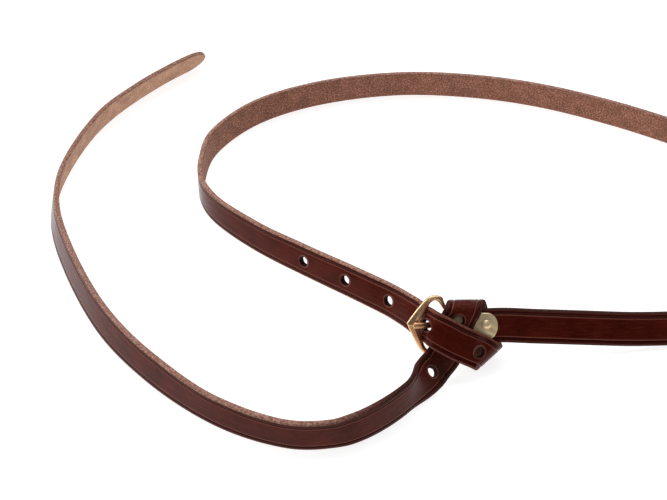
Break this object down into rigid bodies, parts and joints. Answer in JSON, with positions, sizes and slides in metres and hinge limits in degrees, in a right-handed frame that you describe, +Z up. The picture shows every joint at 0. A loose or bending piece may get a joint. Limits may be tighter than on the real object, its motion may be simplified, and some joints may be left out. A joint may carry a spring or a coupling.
{
  "type": "martingale",
  "caption": "Long leather training strap with punched holes, closed into a neck loop by a small brass heart buckle, standing on its edge in a loose curve.",
  "frame": {"origin": "middle of the outline in plan, on the surface the strap stands on", "axes": "+X to the right along the neck loop, +Y from the buckle towards the far side of the loop, +Z up"},
  "size_m": [0.5398, 0.376, 0.0398],
  "materials": {
    "leather": "satin",
    "cast_brass": "polished",
    "sheet_brass": "polished",
    "pin_brass": "polished"
  },
  "bodies": {
    "strap": {"strap_anchored_end": "leather", "strap_near_run": "leather", "strap_right_turn": "leather", "strap_far_run": "leather", "strap_left_turn": "leather", "strap_hole_run": "leather", "strap_over_bar": "leather", "strap_lower_fold": "leather", "strap_riser": "leather", "strap_upper_fold": "leather", "strap_wrap": "leather", "strap_tail_start": "leather", "buckle_plate": "sheet_brass", "rivet": "sheet_brass", "rivet_washer": "sheet_brass"},
    "buckle_frame": {"buckle_frame": "cast_brass"},
    "buckle_tongue": {"buckle_tongue": "pin_brass"},
    "strap_tail_1": {"strap_tail_1": "leather"},
    "strap_tail_2": {"strap_tail_2": "leather"},
    "strap_tail_3": {"strap_tail_3": "leather"},
    "strap_tail_4": {"strap_tail_4": "leather"},
    "strap_tail_tip": {"strap_tail_tip": "leather"}
  },
  "joints": [
    {"name": "frame_swing", "type": "hinge", "parent": "strap", "child": "buckle_frame", "pos_m": [-0.01503, -0.11951, 0.02297], "axis": [0.0485, 0.5055, 0.8615], "range_deg": [-2.5, 1]},
    {"name": "tongue_lift", "type": "hinge", "parent": "buckle_frame", "child": "buckle_tongue", "pos_m": [-0.01503, -0.11951, 0.02297], "axis": [0.0485, 0.5055, 0.8615], "range_deg": [0, 3]},
    {"name": "tail_bend_1", "type": "hinge", "parent": "strap", "child": "strap_tail_1", "pos_m": [-0.07182, -0.18174, 0.01062], "axis": [0, 0, 1], "range_deg": [-3, 10], "stiffness_Nm_per_rad": 0.01},
    {"name": "tail_bend_2", "type": "hinge", "parent": "strap_tail_1", "child": "strap_tail_2", "pos_m": [-0.14355, -0.17025, 0.01062], "axis": [0, 0, 1], "range_deg": [-2, 12], "stiffness_Nm_per_rad": 0.01},
    {"name": "tail_bend_3", "type": "hinge", "parent": "strap_tail_2", "child": "strap_tail_3", "pos_m": [-0.21552, -0.1024, 0.0105], "axis": [0, 0, 1], "range_deg": [-2, 12], "stiffness_Nm_per_rad": 0.01},
    {"name": "tail_bend_4", "type": "hinge", "parent": "strap_tail_3", "child": "strap_tail_4", "pos_m": [-0.26211, -0.00647, 0.01052], "axis": [0, 0, 1], "range_deg": [-2, 12], "stiffness_Nm_per_rad": 0.01},
    {"name": "tail_bend_5", "type": "hinge", "parent": "strap_tail_4", "child": "strap_tail_tip", "pos_m": [-0.25187, 0.09582, 0.0105], "axis": [0, 0, 1], "range_deg": [-2, 12], "stiffness_Nm_per_rad": 0.01}
  ]
}
